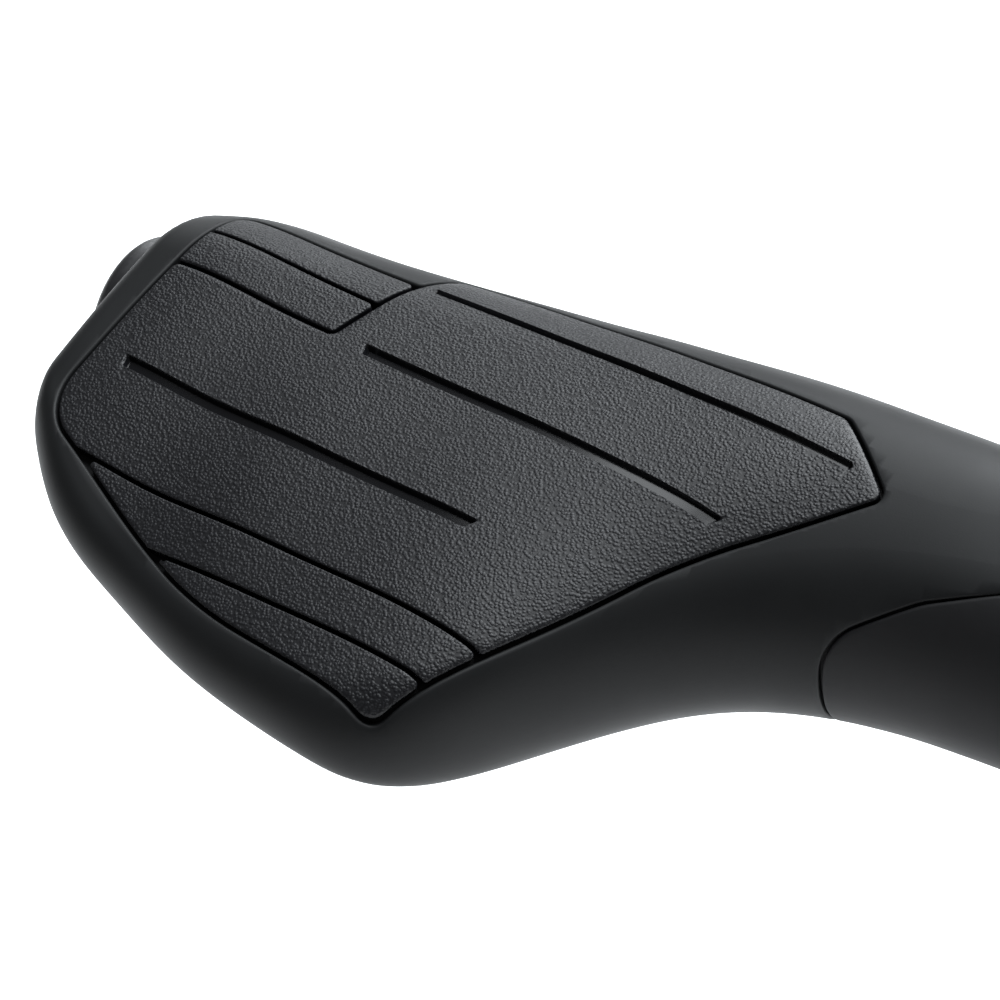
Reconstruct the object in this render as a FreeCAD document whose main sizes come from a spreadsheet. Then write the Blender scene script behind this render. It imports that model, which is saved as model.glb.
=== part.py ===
import FreeCAD, Part
import math
import os
from FreeCAD import Placement, Rotation, Vector

# Left-hand winged handlebar grip. X runs inboard along the bar from the bar's
# end seat at x = 0, -Y points to the rider (the wing side) and Z is up.

doc = FreeCAD.newDocument("WingGrip")
sheet = doc.addObject("Spreadsheet::Sheet", "Sizes")

sizes = [
    # the handlebar and the nylon sleeve that slides over it
    ("bar_radius", 11.1), ("bar_clearance", 0.05), ("sleeve_wall", 1.85),
    ("stop_thickness", 2.4), ("stop_wall", 0.9), ("stop_opening", 8.6),
    ("tail_length", 11.0), ("tail_step", 0.4),
    ("slot_width", 2.0), ("slot_length", 8.5), ("slot_count", 4),
    # the rubber grip over it
    ("overhang", 4.0), ("wing_length", 102.0), ("neck_length", 20.0), ("wing_reach", 54.0),
    ("crown_radius", 150.0), ("hollow_radius", 58.0), ("end_rounding", 4.2),
    # the stiffening blade inside the wing
    ("blade_thickness", 2.2), ("blade_drop", 3.1), ("blade_margin", 9.0),
    ("blade_start", 17.0), ("blade_corner", 3.0), ("blade_hole_radius", 3.0),
    ("blade_hole_pitch", 14.0), ("blade_hole_count", 3),
    # inserts let into the rubber
    ("pad_thickness", 1.6), ("pad_gap", 0.45), ("parting_gap", 0.5),
    ("groove_depth", 0.8), ("wide_groove", 1.5), ("narrow_groove", 0.8),
    ("line_slope", 8.0), ("skin_low", 1.5), ("front_line_rise", 1.2),
    ("strip_front_line", 7.8), ("strip_parting_line", 1.7), ("strip_rear_line", 4.7),
    ("heel_upper_inset", 22.6), ("heel_lower_inset", 16.7), ("rear_groove_inset", 34.8),
    ("middle_groove_line", 4.9), ("front_groove_line", 7.9), ("joint_lean", 0.4),
    ("recess_outer_inset", 24.5), ("recess_heel_inset", 7.8), ("recess_tip_inset", 1.6),
    ("recess_rear_inset", 32.4), ("recess_neck_line", 7.8),
    ("finger_thickness", 1.2), ("finger_length", 21.4), ("finger_gap", 0.3),
    ("finger_rise_low", 3.0), ("finger_rise_high", 12.6), ("finger_corner", 6.0),
    ("finger_bend_corner", 12.0),
    # the end cap
    ("cap_radius", 11.5), ("cap_gap", 0.2), ("cap_height", 4.1), ("cap_edge", 2.6),
    ("plug_relief", 0.1), ("plug_wall", 1.3), ("plug_clearance", 0.08),
    # the lock ring, its bolt and washer
    ("ring_wall", 3.2), ("ring_width", 10.0), ("ring_gap", 0.4), ("ring_clearance", 0.05),
    ("ring_edge", 0.6), ("split_width", 1.6), ("lug_half_width", 6.5), ("lug_wall", 2.3),
    ("lug_edge", 1.2),
    ("bolt_radius", 2.0), ("bolt_length", 11.5), ("bolt_head_radius", 3.5),
    ("bolt_head_height", 4.0), ("bolt_socket", 1.5), ("bolt_socket_depth", 2.4),
    ("thread_clearance", 0.05), ("clear_hole", 0.25), ("washer_tuck", 1.0),
    ("washer_radius", 3.9), ("washer_thickness", 0.8), ("washer_clearance", 0.1),
    ("seat_gap", 0.05),
]

# Sections of the grip from its outer face to its inboard end. Each row: place along
# the wing as a share of its length, rubber over the sleeve, how much of the wing's
# reach is used, radius of the wing's edge, height of the edge's centre, share of the
# crown radius.
stations = [
    (0.00, 1.6, 0.29, 6.4, 4.0, 1.35),
    (0.10, 3.8, 0.53, 5.8, 1.0, 1.15),
    (0.23, 3.6, 0.72, 5.2, -2.0, 1.03),
    (0.36, 3.3, 0.875, 5.1, -2.8, 1.00),
    (0.46, 3.4, 0.955, 5.6, -3.0, 1.32),
    (0.54, 3.5, 0.995, 6.5, -3.2, 1.47),
    (0.60, 3.6, 0.99, 7.8, -3.6, 1.50),
    (0.66, 3.8, 0.90, 9.2, -3.5, 1.75),
    (0.74, 3.9, 0.62, 10.9, -2.8, 1.05),
    (0.84, 4.0, 0.30, 12.5, -1.6, 0.38),
    (0.96, 3.5, 0.12, 14.0, -0.8, 0.30),
]
inboard_end = (2.0, 0.10, 14.4, -0.8, 0.30)

row = 1
for name, value in sizes:
    sheet.set("A%d" % row, name)
    sheet.set("B%d" % row, str(value))
    sheet.setAlias("B%d" % row, name)
    row += 1
doc.recompute()


def size(name):
    return float(sheet.get(name))


def bind(item, **expressions):
    for prop, text in expressions.items():
        item.setExpression(prop, text)
    return item


def cylinder(name, radius, length, start, axis="x", y=None, z=None):
    """A cylinder along x or y that starts at the given place on its own axis."""
    item = bind(doc.addObject("Part::Cylinder", name), Radius=radius, Height=length)
    turns = {"x": Rotation(Vector(0, 1, 0), 90), "y": Rotation(Vector(1, 0, 0), -90)}
    item.Placement = Placement(Vector(0, 0, 0), turns[axis])
    places = {"x": start} if axis == "x" else {"y": start, "x": y, "z": z}
    for letter, text in places.items():
        item.setExpression("Placement.Base." + letter, text)
    return item


def block(name, length, width, height, x, y, z):
    item = bind(doc.addObject("Part::Box", name), Length=length, Width=width, Height=height)
    for letter, text in (("x", x), ("y", y), ("z", z)):
        item.setExpression("Placement.Base." + letter, text)
    return item


def cut(name, base, tool):
    item = doc.addObject("Part::Cut", name)
    item.Base, item.Tool = base, tool
    return item


def fuse(name, *pieces):
    item = doc.addObject("Part::MultiFuse", name)
    item.Shapes = list(pieces)
    return item


# ---- the outer form -------------------------------------------------------------

sleeve_radius = size("bar_radius") + size("bar_clearance") + size("sleeve_wall")
grip_length = size("wing_length") + size("neck_length")
face_x = -size("overhang")
end_x = face_x + grip_length


arc_steps = (6, 8, 8, 8, 6)


def circle_between(first, first_radius, second, second_radius, radius, crown):
    """Centre of the arc tangent to two circles, around them (crown) or between them."""
    sign = -1 if crown else 1
    a = radius + sign * first_radius
    b = radius + sign * second_radius
    line = second - first
    gap = line.Length
    along = (a * a - b * b + gap * gap) / (2 * gap)
    across = math.sqrt(a * a - along * along)
    line.normalize()
    side = Vector(0, -line.z, line.y)
    if side.z > 0:
        side = side * -1
    return first + line * along + side * across


def grip_section(x, rubber, fullness, edge, droop, crowning, inset):
    """Closed curve: the tube's arc, the crown, the wing's edge and the hollow below."""
    tube = sleeve_radius + rubber
    reach = tube + fullness * (size("wing_reach") - tube)
    axis = Vector(x, 0, 0)
    tip = Vector(x, -(reach - edge), droop)
    crown_full = crowning * size("crown_radius")
    crown = circle_between(axis, tube, tip, edge, crown_full, True)
    hollow = circle_between(axis, tube, tip, edge, size("hollow_radius"), False)

    def on(centre, radius, target, away=1):
        direction = target - centre
        direction.normalize()
        return centre + direction * (radius * away)

    tube_radius, edge_radius = tube - inset, edge - inset
    crown_radius, hollow_radius = crown_full - inset, size("hollow_radius") + inset
    front = axis + Vector(0, tube_radius, 0)
    tube_top = on(axis, tube_radius, crown, -1)
    edge_top = on(tip, edge_radius, crown, -1)
    tube_low = on(axis, tube_radius, hollow)
    edge_low = on(tip, edge_radius, hollow)

    def arc(centre, radius, start, end, towards):
        return Part.Arc(start, on(centre, radius, towards), end)

    arcs = [
        arc(axis, tube_radius, front, tube_top, (front + tube_top) * 0.5),
        arc(crown, crown_radius, tube_top, edge_top, (tube_top + edge_top) * 0.5),
        arc(tip, edge_radius, edge_top, edge_low, tip + Vector(0, -1, 0)),
        arc(hollow, hollow_radius, edge_low, tube_low, (edge_low + tube_low) * 0.5),
        arc(axis, tube_radius, tube_low, front, axis + Vector(0, 1, -1)),
    ]
    points = []
    for piece, steps in zip(arcs, arc_steps):
        span = piece.LastParameter - piece.FirstParameter
        points += [piece.value(piece.FirstParameter + span * i / steps) for i in range(steps)]
    outline = Part.BSplineCurve()
    outline.interpolate(Points=points, PeriodicFlag=True,
                        Parameters=[float(i) for i in range(len(points) + 1)])
    return outline


def skin(outlines):
    """Solid whose side passes smoothly through matching closed outlines."""
    rows = [outline.getPoles() for outline in outlines]
    places = [0.0]
    for before, after in zip(rows, rows[1:]):
        steps = [(b - a).Length for a, b in zip(before, after)]
        places.append(places[-1] + sum(steps) / len(steps))
    columns = []
    for points in zip(*rows):
        rail = Part.BSplineCurve()
        rail.interpolate(Points=list(points), Parameters=places)
        columns.append(rail)
    poles = [list(line) for line in zip(*[rail.getPoles() for rail in columns])]
    ring = outlines[0]
    side = Part.BSplineSurface()
    side.buildFromPolesMultsKnots(poles, columns[0].getMultiplicities(),
                                  ring.getMultiplicities(), columns[0].getKnots(),
                                  ring.getKnots(), False, True, 3, 3)
    faces = [side.toShape()]
    for outline in (outlines[0], outlines[-1]):
        faces.append(Part.Face(Part.Wire(outline.toShape())))
    shell = Part.makeShell(faces)
    shell.sewShape()
    solid = Part.Solid(shell)
    if solid.Volume < 0:
        solid.reverse()
    return solid


def between(first, second, share):
    return [a + (b - a) * share for a, b in zip(first, second)]


def grip_form(inset, rounded=False):
    """Solid through every section, with the outer face's edge rounded if asked."""
    outlines = []
    rounding = size("end_rounding")
    if rounded:
        for step in range(rounding_steps):
            turn = math.radians(90.0 * step / rounding_steps)
            depth = rounding * (1 - math.cos(turn))
            share = depth / (stations[1][0] * size("wing_length"))
            values = between(stations[0][1:], stations[1][1:], share)
            sunk = inset + rounding * (1 - math.sin(turn))
            outlines.append(grip_section(face_x + depth, *values, sunk))
    first = stations[1:] if rounded else stations
    for share, *values in first:
        x = face_x + share * size("wing_length")
        outlines.append(grip_section(x, *values, inset))
    outlines.append(grip_section(end_x, *inboard_end, inset))
    return skin(outlines)


rounding_steps = 6
outer_form = grip_form(0, rounded=True)


# ---- plan outlines of the inserts -------------------------------------------------

corner_room = 0.45


def rounded_outline(points, z):
    """Closed face in plan: straight sides with an arc at each (x, y, radius) corner."""
    corners = [Vector(x, y, z) for x, y, radius in points]
    starts, ends, middles = [], [], []
    count = len(corners)
    for i in range(count):
        here = corners[i]
        back = corners[i - 1] - here
        ahead = corners[(i + 1) % count] - here
        back.normalize()
        ahead.normalize()
        half = back.getAngle(ahead) / 2
        room = corner_room * min((corners[i - 1] - here).Length,
                                 (corners[(i + 1) % count] - here).Length)
        reach = min(points[i][2] / math.tan(half), room)
        radius = reach * math.tan(half)
        middle = back + ahead
        middle.normalize()
        starts.append(here + back * reach)
        ends.append(here + ahead * reach)
        middles.append(here + middle * (radius / math.sin(half) - radius))
    edges = []
    for i in range(count):
        if points[i][2] > 0:
            edges.append(Part.Arc(starts[i], middles[i], ends[i]).toShape())
        after = starts[(i + 1) % count]
        edges.append(Part.makeLine(ends[i], after))
    return Part.Face(Part.Wire(edges))


def along(share):
    return face_x + share * size("wing_length")


slope = math.tan(math.radians(size("line_slope")))


def line_y(offset, x):
    """Height in plan of a groove line that starts level with offset at the outer face."""
    return offset - slope * (x - face_x)


reach = size("wing_reach")
front_line = sleeve_radius + size("front_line_rise")
heel_upper_line = -(reach - size("heel_upper_inset"))
heel_lower_line = -(reach - size("heel_lower_inset"))
joint_x = along(0.3196)
joint_y = line_y(-size("strip_rear_line"), joint_x)


def on_joint(offset, shift=0.0):
    """Where a groove line meets the leaning joint between outer pad and palm pad."""
    lean = size("joint_lean")
    start = joint_x + shift - face_x - lean * joint_y
    y = (offset - slope * start) / (1 + slope * lean)
    return joint_x + shift + lean * (y - joint_y), y


recess_points = [
    (along(0.09), line_y(size("strip_front_line"), along(0.09)), 2.5),
    (along(0.047), -(reach - size("recess_outer_inset")), 8.0),
    (along(0.363), -(reach - size("recess_heel_inset")), 60.0),
    (along(0.63), -(reach - size("recess_tip_inset")), 3.2),
    (along(0.838), -(reach - size("recess_rear_inset")), 50.0),
    (along(1.0), -size("recess_neck_line"), 1.4),
    (along(0.918), line_y(front_line, along(0.918)), 2.0),
    (*on_joint(front_line), 2.0),
    (*on_joint(size("strip_front_line")), 1.0),
]
plan_z = -60.0
plan_height = 120.0
up = Vector(0, 0, plan_height)
recess_face = rounded_outline(recess_points, plan_z)
inset_wire = recess_face.OuterWire.makeOffset2D(-size("pad_gap"))
insert_face = Part.Face(inset_wire)


def strip(offset, start_x, finish_x, width):
    """A straight strip in plan along one groove line."""
    half = width / 2
    corners = []
    for x, side in ((start_x, half), (finish_x, half), (finish_x, -half), (start_x, -half)):
        corners.append(Vector(x, line_y(offset, x) + side, plan_z))
    return Part.Face(Part.makePolygon(corners + corners[:1]))


def band(front_offset, rear_offset, joint_shift=None):
    """The plan area between two groove lines, right across or up to the joint."""
    far_front = (end_x, line_y(front_offset, end_x))
    far_rear = (end_x, line_y(rear_offset, end_x))
    if joint_shift is not None:
        far_front = on_joint(front_offset, joint_shift)
        far_rear = on_joint(rear_offset, joint_shift)
    start_x = face_x - size("overhang")
    corners = [
        Vector(start_x, line_y(front_offset, start_x), plan_z),
        Vector(*far_front, plan_z),
        Vector(*far_rear, plan_z),
        Vector(start_x, line_y(rear_offset, start_x), plan_z),
    ]
    return Part.Face(Part.makePolygon(corners + corners[:1]))


half_gap = size("parting_gap") / 2
parting_line = size("strip_parting_line")
strip_rear_line = -size("strip_rear_line")
strip_front_area = band(front_line, parting_line + half_gap, -half_gap)
strip_rear_area = band(parting_line - half_gap, strip_rear_line + half_gap, -half_gap)
strips_area = band(2 * front_line, strip_rear_line - half_gap, half_gap)
heel_upper_area = band(heel_upper_line - half_gap, heel_lower_line + half_gap)
heel_lower_area = band(heel_lower_line - half_gap, heel_lower_line - reach)
palm_area = band(2 * front_line, heel_upper_line + half_gap).cut(strips_area)

pad_shell = outer_form.cut(grip_form(size("pad_thickness")))
groove_floor = grip_form(size("groove_depth"))


def shell_piece(face):
    """What a plan outline cuts from the upper side of the pads' shell."""
    prism = face.extrude(up)
    upper = prism.common(Part.makeBox(300, 200, -plan_z, Vector(-100, -100, -size("skin_low"))))
    return upper.common(pad_shell)


def biggest(shape):
    return max(shape.Solids, key=lambda solid: solid.Volume)


def insert_piece(area):
    face = insert_face.common(area)
    return biggest(shell_piece(max(face.Faces, key=lambda f: f.Area)))


grooves = [
    (-(reach - size("rear_groove_inset")), 0.112, 0.632, size("wide_groove")),
    (-size("middle_groove_line"), 0.375, 0.85, size("wide_groove")),
    (size("front_groove_line"), 0.385, 0.955, size("narrow_groove")),
]


def feature(name, shape):
    item = doc.addObject("Part::Feature", name)
    item.Shape = shape
    item.Placement = Placement()
    item.Label = name
    return item


palm_shape = insert_piece(palm_area)
for offset, start, finish, width in grooves:
    groove = strip(offset, along(start), along(finish), width).extrude(up)
    palm_shape = palm_shape.cut(groove.cut(groove_floor))
palm_pad = feature("palm_pad", biggest(palm_shape))
outer_pad_front = feature("outer_pad_front", insert_piece(strip_front_area))
outer_pad_rear = feature("outer_pad_rear", insert_piece(strip_rear_area))
heel_pad_upper = feature("heel_pad_upper", insert_piece(heel_upper_area))
heel_pad_lower = feature("heel_pad_lower", insert_piece(heel_lower_area))


# ---- finger insert round the underside of the neck ---------------------------------

finger_bend_share = 0.42
finger_rise_share = 0.62


def finger_prism(gap):
    """Side outline of the insert, swept right through the neck."""
    start = end_x - size("finger_length") + gap
    low = size("finger_rise_low") - gap
    high = size("finger_rise_high") - gap
    bend_x = start + size("finger_length") * finger_bend_share
    bend_z = low + (high - low) * finger_rise_share
    below, beyond = plan_z, end_x + 1
    points = [(start, below, 0), (start, low, size("finger_corner")),
              (bend_x, bend_z, size("finger_bend_corner")), (beyond, high, 0),
              (beyond, below, 0)]
    face = rounded_outline(points, 0)
    face.rotate(Vector(0, 0, 0), Vector(1, 0, 0), 90)
    face.translate(Vector(0, plan_height / 2, 0))
    return face.extrude(Vector(0, -plan_height, 0))


finger_shell = outer_form.cut(grip_form(size("finger_thickness")))
finger_shape = finger_prism(size("finger_gap")).common(finger_shell)
finger_insert = feature("finger_insert", biggest(finger_shape))


# ---- nylon sleeve with the wing's blade ---------------------------------------------

bore = "Sizes.bar_radius + Sizes.bar_clearance"
outside = bore + " + Sizes.sleeve_wall"
body_length = "Sizes.wing_length + Sizes.neck_length - Sizes.overhang"
tail_radius = outside + " - Sizes.tail_step"

sleeve_tube = cylinder("sleeve_tube", outside, body_length, "0")
sleeve_tail = cylinder("sleeve_tail", tail_radius, "Sizes.tail_length", body_length)
sleeve_stop = cylinder("sleeve_stop", outside + " - Sizes.stop_wall", "Sizes.stop_thickness",
                       "-Sizes.stop_thickness")

blade_points = [
    (along(0.0) + size("blade_start"), -sleeve_radius + 1.5, 0.0),
    (along(0.0) + size("blade_start"), -(reach - 15.0 - size("blade_margin")),
     size("blade_corner")),
    (along(0.363), -(reach - 5.0 - size("blade_margin")), size("blade_corner")),
    (along(0.60), -(reach - size("blade_margin")), size("blade_corner")),
    (along(0.77), -sleeve_radius + 1.5, 0.0),
]
blade_shape = rounded_outline(blade_points, -size("blade_drop"))
blade_shape = blade_shape.extrude(Vector(0, 0, size("blade_thickness")))
for index in range(int(size("blade_hole_count"))):
    hole_x = along(0.32) + index * size("blade_hole_pitch")
    hole_y = -(sleeve_radius + reach - size("blade_margin")) / 2
    hole = Part.makeCylinder(size("blade_hole_radius"), 20, Vector(hole_x, hole_y, -10))
    blade_shape = blade_shape.cut(hole)
blade = feature("wing_blade", blade_shape)

sleeve_full = fuse("sleeve_full", sleeve_tube, sleeve_tail, sleeve_stop, blade)
sleeve_bore = cylinder("sleeve_bore", bore, body_length + " + 2 * Sizes.tail_length", "0")
stop_hole = cylinder("stop_hole", "Sizes.stop_opening", "Sizes.stop_thickness * 3",
                     "-Sizes.stop_thickness * 2")
slots = []
for index in range(int(size("slot_count")) // 2):
    slot = block("tail_slot_%d" % index, "2 * Sizes.slot_length", "Sizes.slot_width",
                 "4 * Sizes.bar_radius",
                 body_length + " + Sizes.tail_length - Sizes.slot_length",
                 "-Sizes.slot_width / 2", "-2 * Sizes.bar_radius")
    slots.append(slot)
    if index:
        bind(slot, Width="4 * Sizes.bar_radius", Height="Sizes.slot_width")
        bind(slot, **{"Placement.Base.y": "-2 * Sizes.bar_radius",
                      "Placement.Base.z": "-Sizes.slot_width / 2"})
hollow_tools = fuse("sleeve_hollow", sleeve_bore, stop_hole, *slots)
core_sleeve = cut("core_sleeve", sleeve_full, hollow_tools)
doc.recompute()


# ---- rubber overmould ----------------------------------------------------------------

cap_seat = Part.makeCylinder(size("cap_radius") + size("cap_gap"), 40,
                             Vector(-40 - size("stop_thickness"), 0, 0), Vector(1, 0, 0))
recess = shell_piece(recess_face)
finger_recess = finger_prism(0).common(finger_shell)
rubber = outer_form.cut(sleeve_full.Shape).cut(cap_seat)
rubber = rubber.cut(recess).cut(finger_recess)
grip_body = feature("grip_body", biggest(rubber))


# ---- end cap ----------------------------------------------------------------------------

cap_inner = -size("stop_thickness") - size("seat_gap")
cap_outer = face_x - size("cap_height")
plug_radius = size("stop_opening") - size("plug_clearance")
cap_disc = Part.makeCylinder(size("cap_radius"), cap_inner - cap_outer,
                             Vector(cap_outer, 0, 0), Vector(1, 0, 0))
rim = [e for e in cap_disc.Edges if abs(e.BoundBox.XMax - cap_outer) < 1e-4]
cap_disc = cap_disc.makeFillet(size("cap_edge"), rim)
plug = Part.makeCylinder(plug_radius, -size("plug_relief") - cap_inner,
                         Vector(cap_inner, 0, 0), Vector(1, 0, 0))
plug_hollow = Part.makeCylinder(plug_radius - size("plug_wall"), size("stop_thickness") * 2,
                                Vector(cap_inner, 0, 0), Vector(1, 0, 0))
end_cap = feature("end_cap", cap_disc.fuse(plug).cut(plug_hollow).removeSplitter())


# ---- lock ring --------------------------------------------------------------------------

ring_start = body_length + " + Sizes.ring_gap"
ring_bore = tail_radius + " + Sizes.ring_clearance"
ring_outside = ring_bore + " + Sizes.ring_wall"
bolt_depth = ring_outside + " + Sizes.washer_radius - Sizes.washer_tuck"
bolt_z = "-(" + bolt_depth + ")"
bolt_x = ring_start + " + Sizes.ring_width / 2"
lug_low = "(" + bolt_depth + " + Sizes.bolt_radius + Sizes.lug_wall)"

ring_disc = cylinder("ring_disc", ring_outside, "Sizes.ring_width", ring_start)
ring_lug = block("ring_lug", "Sizes.ring_width", "2 * Sizes.lug_half_width",
                 lug_low + " - Sizes.bar_radius", ring_start, "-Sizes.lug_half_width",
                 "-" + lug_low)
doc.recompute()


def rounded(name, base, radius, pick):
    """Fillet on the edges of a primitive that pick accepts."""
    item = doc.addObject("Part::Fillet", name)
    item.Base = base
    item.Edges = [(i + 1, radius, radius) for i, e in enumerate(base.Shape.Edges) if pick(e)]
    return item


def is_rim(edge):
    return edge.BoundBox.XLength < 1e-6


def is_lower_corner(edge):
    low = ring_lug.Shape.BoundBox.ZMin
    return edge.BoundBox.ZMax < low + 1e-6 and edge.BoundBox.YLength < 1e-6


ring_rounded = rounded("ring_rounded", ring_disc, size("ring_edge"), is_rim)
lug_rounded = rounded("lug_rounded", ring_lug, size("lug_edge"), is_lower_corner)
ring_solid = fuse("ring_solid", ring_rounded, lug_rounded)
ring_hole = cylinder("ring_hole", ring_bore, "4 * Sizes.ring_width",
                     ring_start + " - Sizes.ring_width")
ring_split = block("ring_split", "4 * Sizes.ring_width", "Sizes.split_width", lug_low,
                   ring_start + " - Sizes.ring_width", "-Sizes.split_width / 2",
                   "-1.2 * " + lug_low)
clear_hole = cylinder("clear_hole", "Sizes.bolt_radius + Sizes.clear_hole",
                      "2 * Sizes.lug_half_width", "-2 * Sizes.lug_half_width",
                      "y", bolt_x, bolt_z)
thread_hole = cylinder("thread_hole", "Sizes.bolt_radius + Sizes.thread_clearance",
                       "2 * Sizes.lug_half_width", "-Sizes.split_width", "y", bolt_x, bolt_z)
ring_tools = fuse("ring_tools", ring_hole, ring_split, clear_hole, thread_hole)
clamp_ring = cut("clamp_ring", ring_solid, ring_tools)


# ---- bolt and washer ----------------------------------------------------------------------

washer_seat = "-(Sizes.lug_half_width + Sizes.seat_gap)"
head_seat = "-(Sizes.lug_half_width + 2 * Sizes.seat_gap + Sizes.washer_thickness)"
head_start = head_seat + " - Sizes.bolt_head_height"
washer_disc = cylinder("washer_disc", "Sizes.washer_radius", "Sizes.washer_thickness",
                       washer_seat + " - Sizes.washer_thickness", "y", bolt_x, bolt_z)
washer_hole = cylinder("washer_hole", "Sizes.bolt_radius + Sizes.washer_clearance",
                       "4 * Sizes.washer_thickness", washer_seat + " - 2 * Sizes.washer_thickness",
                       "y", bolt_x, bolt_z)
bolt_washer = cut("bolt_washer", washer_disc, washer_hole)

bolt_head = cylinder("bolt_head", "Sizes.bolt_head_radius", "Sizes.bolt_head_height",
                     head_start, "y", bolt_x, bolt_z)
bolt_shank = cylinder("bolt_shank", "Sizes.bolt_radius", "Sizes.bolt_length", head_seat,
                      "y", bolt_x, bolt_z)
bolt_solid = fuse("bolt_solid", bolt_head, bolt_shank)
bolt_socket = bind(doc.addObject("Part::Prism", "bolt_socket"), Polygon="6",
                   Circumradius="Sizes.bolt_socket / cos(30)",
                   Height="2 * Sizes.bolt_socket_depth")
bolt_socket.Placement = Placement(Vector(0, 0, 0), Rotation(Vector(1, 0, 0), -90))
bind(bolt_socket, **{"Placement.Base.x": bolt_x, "Placement.Base.z": bolt_z,
                     "Placement.Base.y": head_start + " - Sizes.bolt_socket_depth"})
clamp_bolt = cut("clamp_bolt", bolt_solid, bolt_socket)
doc.recompute()


# ---- checks and export -----------------------------------------------------------------------

nodes = [core_sleeve, grip_body, palm_pad, outer_pad_front, outer_pad_rear, heel_pad_upper,
         heel_pad_lower, finger_insert, end_cap, clamp_ring, bolt_washer, clamp_bolt]
for item in doc.Objects:
    if "Invalid" in item.State or "Error" in item.State:
        raise RuntimeError("failed feature: " + item.Label)
os.makedirs("parts", exist_ok=True)
for node in nodes:
    shape = node.Shape
    if shape.isNull() or not shape.isValid() or len(shape.Solids) != 1:
        raise RuntimeError("bad shape: %s with %d solids" % (node.Label, len(shape.Solids)))
    box = shape.BoundBox
    print("%-16s %9.1f mm3  x %.1f..%.1f  y %.1f..%.1f  z %.1f..%.1f" % (
        node.Label, shape.Volume, box.XMin, box.XMax, box.YMin, box.YMax, box.ZMin, box.ZMax))
for node in nodes:
    node.Shape.exportStep("parts/%s.step" % node.Label)
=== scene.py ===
import math

import bmesh
import bpy
import numpy as np
from mathutils import Matrix, Vector
from mathutils.bvhtree import BVHTree


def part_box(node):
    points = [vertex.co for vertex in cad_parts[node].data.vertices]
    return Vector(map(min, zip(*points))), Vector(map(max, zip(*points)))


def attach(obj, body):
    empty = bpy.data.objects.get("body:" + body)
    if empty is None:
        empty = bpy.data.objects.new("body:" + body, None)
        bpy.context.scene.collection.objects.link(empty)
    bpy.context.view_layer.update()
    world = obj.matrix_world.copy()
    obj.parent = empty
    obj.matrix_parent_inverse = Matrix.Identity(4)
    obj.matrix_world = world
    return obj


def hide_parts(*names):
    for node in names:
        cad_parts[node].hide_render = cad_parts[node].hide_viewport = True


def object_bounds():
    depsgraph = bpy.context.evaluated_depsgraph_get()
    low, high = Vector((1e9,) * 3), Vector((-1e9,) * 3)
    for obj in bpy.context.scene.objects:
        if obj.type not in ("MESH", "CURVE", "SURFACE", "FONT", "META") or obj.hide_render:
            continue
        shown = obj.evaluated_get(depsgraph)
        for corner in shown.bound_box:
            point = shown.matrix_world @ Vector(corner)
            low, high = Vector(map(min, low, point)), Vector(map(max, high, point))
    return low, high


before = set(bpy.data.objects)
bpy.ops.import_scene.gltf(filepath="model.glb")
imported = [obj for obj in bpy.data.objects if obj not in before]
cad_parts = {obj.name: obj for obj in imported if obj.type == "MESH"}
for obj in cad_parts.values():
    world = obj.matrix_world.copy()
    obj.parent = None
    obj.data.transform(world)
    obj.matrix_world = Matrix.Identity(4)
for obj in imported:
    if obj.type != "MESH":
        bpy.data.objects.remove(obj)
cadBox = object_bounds()
mm = 0.001
origin = Vector((0, 0, 0))


# Everything is modelled in millimetres, and newObject turns it into metres.
# Edges sharper than the crease angle stay sharp in the shading.
def newObject(name, bm, material, body=None, replaced=(), crease=38):
    bmesh.ops.scale(bm, vec=(mm, mm, mm), verts=bm.verts)
    mesh = bpy.data.meshes.new(name)
    bm.to_mesh(mesh)
    bm.free()
    obj = bpy.data.objects.new(name, mesh)
    bpy.context.scene.collection.objects.link(obj)
    if material:
        mesh.materials.append(material)
    if body:
        finishPiece(obj, body, replaced, crease)
    return obj


def finishPiece(obj, body, replaced, crease=38):
    mesh = obj.data
    mesh.polygons.foreach_set("use_smooth", [True] * len(mesh.polygons))
    mesh.set_sharp_from_angle(angle=math.radians(crease))
    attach(obj, body)
    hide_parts(*replaced)


def booleanCut(target, tool):
    # cuts the tool out of the target's own mesh and removes the tool
    mod = target.modifiers.new("cut", "BOOLEAN")
    mod.operation = "DIFFERENCE"
    mod.solver = "MANIFOLD"
    mod.object = tool
    depsgraph = bpy.context.evaluated_depsgraph_get()
    baked = bpy.data.meshes.new_from_object(target.evaluated_get(depsgraph))
    target.modifiers.clear()
    old = target.data
    target.data = baked
    bpy.data.meshes.remove(old)
    bpy.data.objects.remove(tool)


def loftRings(rings, closed=False):
    # one circle carried from ring to ring, each point set to its place
    bm = bmesh.new()
    order = bm.verts.layers.int.new("order")
    bmesh.ops.create_circle(bm, segments=len(rings[0]), radius=1.0)
    bm.verts.ensure_lookup_table()
    for i, vert in enumerate(bm.verts):
        vert[order] = i
        vert.co = rings[0][i]
    firstLoop = list(bm.edges)
    loop = firstLoop
    for ring in rings[1:]:
        grown = bmesh.ops.extrude_edge_only(bm, edges=loop)["geom"]
        verts = {g for g in grown if isinstance(g, bmesh.types.BMVert)}
        loop = [g for g in grown if isinstance(g, bmesh.types.BMEdge)
                and g.verts[0] in verts and g.verts[1] in verts]
        for vert in verts:
            vert.co = ring[vert[order]]
    if closed:
        bmesh.ops.bridge_loops(bm, edges=firstLoop + loop)
    else:
        bmesh.ops.edgeloop_fill(bm, edges=firstLoop)
        bmesh.ops.edgeloop_fill(bm, edges=loop)
    bmesh.ops.recalc_face_normals(bm, faces=bm.faces)
    return bm


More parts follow.
